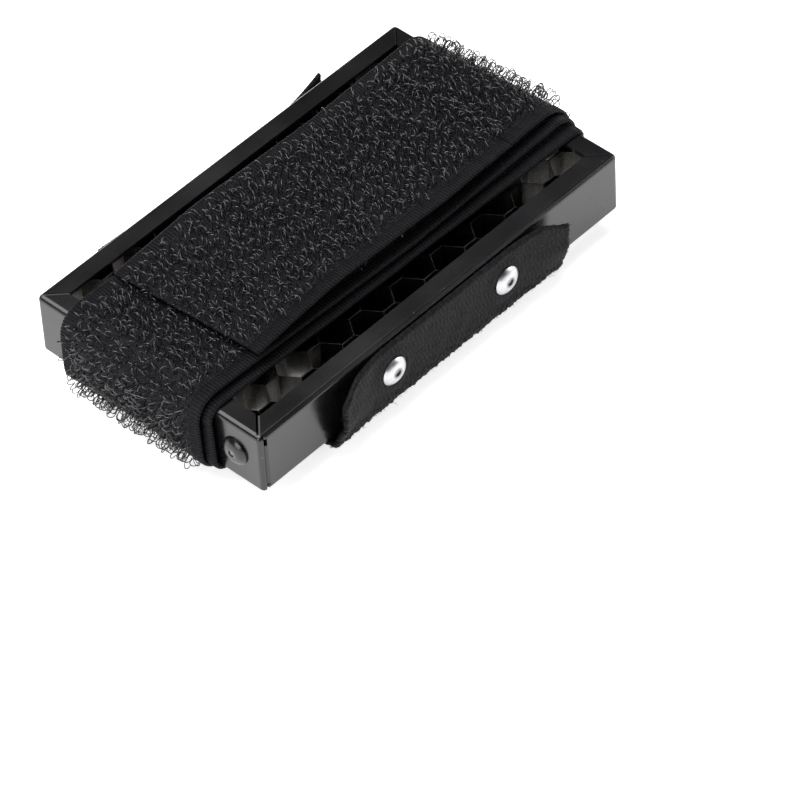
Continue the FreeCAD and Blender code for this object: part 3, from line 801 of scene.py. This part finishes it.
class StrapLine:
    """The tape's middle line: where it is, which way is out, how it drifts sideways and twists."""

    def __init__(self, settings):
        corners, radii, drift, twist = strap_route(settings)
        step = settings.rib / 4
        self.points, tangent, self.along, self.marks = rounded_route(corners, radii, step)
        self.normal = np.stack([tangent[:, 1], -tangent[:, 0]], -1)
        self.drift = np.interp(self.along, self.marks, drift)
        self.twist = np.interp(self.along, self.marks, twist)
        self.end = self.along[-1] - END_SPARE

    def at(self, s, y, height):
        """The point s along the tape, y from its middle and height out from it.

        Towards the free end s also grows with y, so that the end is cut a little askew.
        """
        s = s + END_SLANT * y * smooth(s, self.end - 20 * MM, self.end)
        px, pz, nx, nz, drift, twist = (
            np.interp(s, self.along, values) for values in
            (*self.points.T, *self.normal.T, self.drift, self.twist))
        settle = 0.1 * MM * ripple(s, y, 14 * MM, 77)
        height = height - twist * y + settle
        return np.stack([px + nx * height, drift + y, pz + nz * height], -1)

    def out(self, s):
        """The unit direction away from the frame at s."""
        nx, nz = (np.interp(s, self.along, values) for values in self.normal.T)
        return np.stack([nx, 0 * nx, nz], -1)


def strap_profile(settings):
    """The tape's cross-section as y, height and rib share, round it once.

    Half its thickness is a little more in the selvedge than in the hook field, dips in the groove
    between them, and falls to the rim as a quarter ellipse.
    """
    half = settings.width / 2
    inner = half - settings.selvedge
    y = np.concatenate([half - np.array([0.0, 0.12, 0.42, 1.1, 1.9, 2.55]) * MM,
                        inner + np.array([0.0, -0.45]) * MM, [inner / 2.2]])
    y = np.concatenate([y, -y[::-1]])
    rim = 0.45 * MM
    edge = np.abs(y)
    rounded = np.sqrt(np.clip(1 - (np.clip(edge - (half - rim), 0, rim) / rim) ** 2, 0, 1))
    groove = 0.13 * MM * np.exp(-((edge - inner) / (0.22 * MM)) ** 2)
    body = settings.backing / 2 + 0.07 * MM * smooth(edge, inner, inner + 0.6 * MM) - groove
    height = body * (0.12 + 0.88 * rounded)
    rib = smooth(edge, inner + 0.1 * MM, inner + 0.5 * MM)
    return (np.concatenate([y, y[::-1]]), np.concatenate([height, -height[::-1]]),
            np.concatenate([rib, rib[::-1]]))


def strap_piece(name, line, first, last, settings, finish):
    """The tape from first to last along its line: the profile carried along it.

    In the selvedge its height is multiplied by a cosine of the length along the tape, which
    makes the ribs.
    """
    keep = (line.along >= first) & (line.along <= last)
    s = line.along[keep][:, None]
    y, height, rib = (values[None, :] for values in strap_profile(settings))
    ribs = settings.rib_height * rib * np.cos(TAU * s / settings.rib) * np.sign(height)
    rings = line.at(s + 0 * y, y + 0 * s, height + ribs)
    uv = np.stack([s + 0 * y, y + 0 * s], -1)
    return quad_piece(name, rings, tube_quads(*rings.shape[:2]), (finish,), uv)


def hook_bases(spans, settings, strap, draw):
    """Where the hooks stand over spans of the tape: length along it, place across it, and share.

    They are staggered rows across the tape, each hook shifted a little at random.
    """
    border = strap.width / 2 - strap.selvedge - 0.15 * MM
    found = []
    for first, last, share in spans:
        s, y = np.meshgrid(np.arange(first, last, settings.pitch),
                           np.arange(-border, border, settings.pitch), indexing="ij")
        y = y + (np.arange(s.shape[0]) % 2)[:, None] * settings.pitch / 2
        s = s + draw.uniform(-0.3, 0.3, s.shape) * settings.pitch
        y = y + draw.uniform(-0.3, 0.3, s.shape) * settings.pitch
        inside = np.abs(y) < border
        found.append((s[inside], y[inside], np.full(inside.sum(), share)))
    return (np.concatenate(column) for column in zip(*found))


def hooks(name, line, spans, settings, strap, finish, seed):
    """Hooks over spans of the tape, each span with its share of the full height.

    A hook is a wire in a plane through the outward direction: a leaning stem, then an arc of
    half a turn or more over to one side. Its plane's heading and its size are random.
    """
    draw = np.random.default_rng(seed)
    s, y, share = hook_bases(spans, settings, strap, draw)
    count = len(s)
    up = line.out(s)
    base = line.at(s, y, strap.backing / 2 - ROOTED)
    heading = draw.normal(0, 0.5, count) + np.where(draw.uniform(size=count) < 0.5, 0, math.pi)
    sideways = np.array([0.0, 1.0, 0.0])
    along = np.cross(up, sideways)
    to = np.cos(heading)[:, None] * sideways + np.sin(heading)[:, None] * along
    beside = np.cross(up, to)
    crook = settings.crook * draw.uniform(0.75, 1.25, count) * (0.6 + 0.4 * share)
    height = settings.height * draw.uniform(0.78, 1.15, count) * share
    stem = np.maximum(height - crook, 0.25 * crook)
    lean = draw.normal(0, 0.16, count)
    reach = draw.uniform(3.3, 4.4, count)
    t = np.linspace(0, 1, 8)[None, :]
    angle = math.pi - t * reach[:, None]
    over = crook[:, None] * (1 + np.cos(angle))
    rise = stem[:, None] + crook[:, None] * np.sin(angle)
    over = np.concatenate([np.zeros((count, 2)), over], 1)
    rise = np.concatenate([np.zeros((count, 1)), stem[:, None] * 0.55, rise], 1)
    over = over + rise * lean[:, None]
    skew = draw.normal(0, 0.22, count)[:, None] * over + draw.normal(0, 0.12, count)[:, None] * rise
    path = (base[:, None] + over[..., None] * to[:, None] + rise[..., None] * up[:, None]
            + skew[..., None] * beside[:, None])
    radius = np.full(path.shape[:2], settings.wire / 2)
    radius[:, -1] *= 0.6
    return tubes(name, path, radius, finish)


def stubs(name, line, spans, settings, strap, finish, seed):
    """The short cut ends beside the hooks: straight stems leaning at random."""
    draw = np.random.default_rng(seed)
    s, y, share = hook_bases(spans, settings, strap, draw)
    s = s + 0.4 * settings.pitch
    up = line.out(s)
    base = line.at(s, y, strap.backing / 2 - ROOTED)
    lean = draw.normal(0, 0.45, (len(s), 3))
    way = up + lean
    length = (draw.uniform(0.3, 0.8, len(s)) * MM * share)[:, None]
    path = np.stack([base, base + way * length * 0.55, base + (way + 0.5 * lean) * length], 1)
    return tubes(name, path, np.full(path.shape[:2], settings.wire / 2), finish)


# ---------------------------------------------------------------- operators


def settings_of(context):
    return context.scene.honeycomb_grid


class HONEYCOMBGRID_OT_metal(bpy.types.Operator):
    """Paints the frame and finishes its rivets"""

    bl_idname = "honeycomb_grid.metal"
    bl_label = "Finish frame and rivets"

    def execute(self, context):
        colours = settings_of(context).finish
        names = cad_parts
        paint_nodes(["frame_channel"], powder_coat(colours.paint))
        paint_nodes(["corner_rivet"], black_rivet_coat(colours.paint))
        tab_rivets = [n for n in names if "_rivet_" in n]
        mandrels = [n for n in names if "mandrel" in n]
        if len(tab_rivets) != 4 or len(mandrels) != 5:
            raise RuntimeError("the packed model has other rivets than this script finishes")
        paint_nodes(tab_rivets, bright_aluminium(colours.aluminium))
        paint_nodes(mandrels, broken_steel(colours.steel))
        return {"FINISHED"}


class HONEYCOMBGRID_OT_core(bpy.types.Operator):
    """Finishes the foil ribbons of the honeycomb core"""

    bl_idname = "honeycomb_grid.core"
    bl_label = "Finish core"

    def execute(self, context):
        ribbons = [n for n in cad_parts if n.startswith("core_ribbon_")]
        paint_nodes(ribbons, core_foil(settings_of(context).finish.foil))
        return {"FINISHED"}


class HONEYCOMBGRID_OT_tabs(bpy.types.Operator):
    """Makes the two loop cloth tabs and their loose threads"""

    bl_idname = "honeycomb_grid.tabs"
    bl_label = "Make cloth tabs"

    def execute(self, context):
        settings = settings_of(context)
        colour = settings.finish.cloth
        backing = knitted_backing(colour, settings.tabs.wale, settings.tabs.course)
        pile = loop_pile(colour)
        yarn = loose_thread(colour)
        for side, name in SIDES.items():
            tab, parts = tab_piece(side, settings.tabs, backing, pile)
            threads = tab_threads(side, parts, settings.tabs, yarn)
            for piece in (tab, threads):
                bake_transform(piece)
            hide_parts(f"{name}_tab_root", f"{name}_tab_flap")
        return {"FINISHED"}


class HONEYCOMBGRID_OT_strap(bpy.types.Operator):
    """Makes the hook tape strap in its wound and its free length, with its hooks"""

    bl_idname = "honeycomb_grid.strap"
    bl_label = "Make hook tape strap"

    def execute(self, context):
        settings = settings_of(context)
        tape, hook = settings.strap, settings.hooks
        ground = hook_tape(settings.finish.tape, tape)
        nylon = hook_nylon(settings.finish.nylon)
        line = StrapLine(tape)
        # The middle turn comes up at the right end. The outer one then passes the left end's top
        # and foot and the right end's foot and top.
        middle_turn = line.marks[5]
        left_top, left_foot, right_foot, right_top = line.marks[7:11]
        end = line.end
        split = right_top + SPLIT_AFTER_TURN
        wound = strap_piece("strap_wound", line, 0, split + LAP, tape, ground)
        free = strap_piece("strap_top", line, split - LAP, end, tape, ground)

        # Each span of hooks: from, to, and the share of their height that they stand up.
        uncovered = left_top - UNCOVERED
        wound_spans = [
            (middle_turn + 40 * MM, uncovered, 0.42),
            (uncovered, left_foot + 2 * MM, 1.0),
            (left_foot + 2 * MM, left_foot + UNDER_TABS, 0.6),
            (right_foot - UNDER_TABS, right_foot - 2 * MM, 0.6),
            (right_foot - 2 * MM, split, 1.0)]
        free_spans = [(split, end - 0.1 * MM, 1.0)]
        made = []
        for kind, make, seed in (("hooks", hooks, hook.seed), ("stubs", stubs, hook.seed + 2)):
            made.append([
                make(f"strap_{kind}_{part}", line, spans, hook, tape, nylon, seed + k)
                for k, (part, spans) in enumerate((("wound", wound_spans), ("top", free_spans)))])
        (wound_hooks, free_hooks), (wound_stubs, free_stubs) = made

        for piece in (wound, wound_hooks, wound_stubs):
            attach(piece, "grid")
        for piece in (free, free_hooks, free_stubs):
            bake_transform(piece)
        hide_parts("strap_top_outer", "strap_free_end")
        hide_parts("strap_under_outer", "strap_under_inner", "strap_top_inner",
                    "strap_top_middle", "strap_left_outer", "strap_left_inner",
                    "strap_right_outer", "strap_right_middle", "strap_right_inner")
        return {"FINISHED"}


class HONEYCOMBGRID_OT_stage(bpy.types.Operator):
    """Lays the floor, hangs the lights and sets the camera"""

    bl_idname = "honeycomb_grid.stage"
    bl_label = "Set stage"

    def execute(self, context):
        settings = settings_of(context).stage
        self.floor(settings)
        self.sky(context)
        self.light("overhead", (-0.3, 0.7, 1.9), 2.2, settings.light)
        self.light("left_side", (-2.2, -0.2, 1.0), 1.4, settings.light * 0.35)
        self.light("right_side", (1.9, -1.2, 0.9), 1.2, settings.light * 0.3)
        self.camera(context, settings)
        context.scene.view_settings.view_transform = "Standard"
        return {"FINISHED"}

    def floor(self, settings):
        """A wide level sheet, a hair below the grid."""
        corners = [(x, y, -0.02 * MM) for y in (-4, 4) for x in (-4, 4)]
        mesh = bpy.data.meshes.new("floor")
        mesh.from_pydata(corners, [], [(0, 1, 3, 2)])
        floor = bpy.data.objects.new("floor", mesh)
        bpy.context.scene.collection.objects.link(floor)
        finish = Finish("floor_paper", Roughness=0.9, Specular_IOR_Level=0.1,
                        Emission_Color=(1, 1, 1, 1), Emission_Strength=0.7)
        grain = finish.noise(finish.place.outputs["Object"], 900, 2)
        floor.data.materials.append(finish.feed(
            Base_Color=finish.blend(grain, tint(settings.floor), tint(settings.floor, 0.985))))

    def sky(self, context):
        """Pale at the horizon and dim overhead, so that level faces mirror a dark ceiling."""
        world = bpy.data.worlds.new("studio")
        world.use_nodes = True
        nodes, links = world.node_tree.nodes, world.node_tree.links
        place = nodes.new("ShaderNodeTexCoord")
        part = nodes.new("ShaderNodeSeparateXYZ")
        ramp = nodes.new("ShaderNodeMapRange")
        ramp.inputs["From Min"].default_value = 0.12
        ramp.inputs["From Max"].default_value = 0.5
        ramp.inputs["To Min"].default_value = 1.8
        ramp.inputs["To Max"].default_value = 0.08
        links.new(place.outputs["Generated"], part.inputs[0])
        links.new(part.outputs[2], ramp.inputs["Value"])
        links.new(ramp.outputs[0], nodes["Background"].inputs["Strength"])
        context.scene.world = world

    def light(self, name, place, size, power):
        """A square soft light that looks at the grid."""
        lamp = bpy.data.lights.new(name, "AREA")
        lamp.size = size
        lamp.energy = power
        made = bpy.data.objects.new(name, lamp)
        made.location = place
        made.rotation_euler = (-Vector(place)).to_track_quat("-Z", "Y").to_euler()
        bpy.context.scene.collection.objects.link(made)

    def camera(self, context, settings):
        """Long lens from the near left, half way up, with a slight roll."""
        lens = bpy.data.cameras.new("camera")
        lens.lens = settings.lens
        lens.sensor_width = 36
        lens.clip_start = 0.05
        made = bpy.data.objects.new("camera", lens)
        level = math.cos(settings.elevation)
        back = Vector((math.sin(settings.azimuth) * level, -math.cos(settings.azimuth) * level,
                       math.sin(settings.elevation)))
        turn = back.to_track_quat("Z", "Y") @ Quaternion((0, 0, 1), settings.roll)
        made.matrix_world = (Matrix.Translation(Vector(LOOKS_AT) + back * settings.distance)
                             @ turn.to_matrix().to_4x4())
        context.scene.collection.objects.link(made)
        context.scene.camera = made


class HONEYCOMBGRID_PT_panel(bpy.types.Panel):
    """Lists the steps and their settings"""

    bl_idname = "HONEYCOMBGRID_PT_panel"
    bl_label = "Honeycomb grid"
    bl_space_type = "VIEW_3D"
    bl_region_type = "UI"
    bl_category = "Honeycomb grid"

    def draw(self, context):
        for step in STEPS:
            self.layout.operator(step.bl_idname)
        for group in ("strap", "hooks", "tabs", "finish", "stage"):
            box = self.layout.box()
            settings = getattr(settings_of(context), group)
            for name in settings.__annotations__:
                box.prop(settings, name)


class HoneycombGridSettings(bpy.types.PropertyGroup):
    """All settings of the grid."""

    strap: PointerProperty(type=HoneycombGridStrap, name="Strap", description="Sizes of the tape")
    hooks: PointerProperty(type=HoneycombGridHooks, name="Hooks", description="Sizes of the hooks")
    tabs: PointerProperty(type=HoneycombGridTabs, name="Tabs", description="Sizes of the tabs")
    finish: PointerProperty(type=HoneycombGridFinish, name="Finish", description="Colours")
    stage: PointerProperty(type=HoneycombGridStage, name="Stage", description="Lights and camera")


GROUPS = (HoneycombGridStrap, HoneycombGridHooks, HoneycombGridTabs, HoneycombGridFinish,
          HoneycombGridStage, HoneycombGridSettings)
STEPS = (HONEYCOMBGRID_OT_metal, HONEYCOMBGRID_OT_core, HONEYCOMBGRID_OT_tabs,
         HONEYCOMBGRID_OT_strap, HONEYCOMBGRID_OT_stage)


def register():
    for cls in (*GROUPS, *STEPS, HONEYCOMBGRID_PT_panel):
        bpy.utils.register_class(cls)
    bpy.types.Scene.honeycomb_grid = PointerProperty(type=HoneycombGridSettings)


def unregister():
    del bpy.types.Scene.honeycomb_grid
    for cls in reversed((*GROUPS, *STEPS, HONEYCOMBGRID_PT_panel)):
        bpy.utils.unregister_class(cls)


def main():
    register()
    for step in STEPS:
        group, name = step.bl_idname.split(".")
        getattr(getattr(bpy.ops, group), name)()


if __name__ == "__main__":
    main()
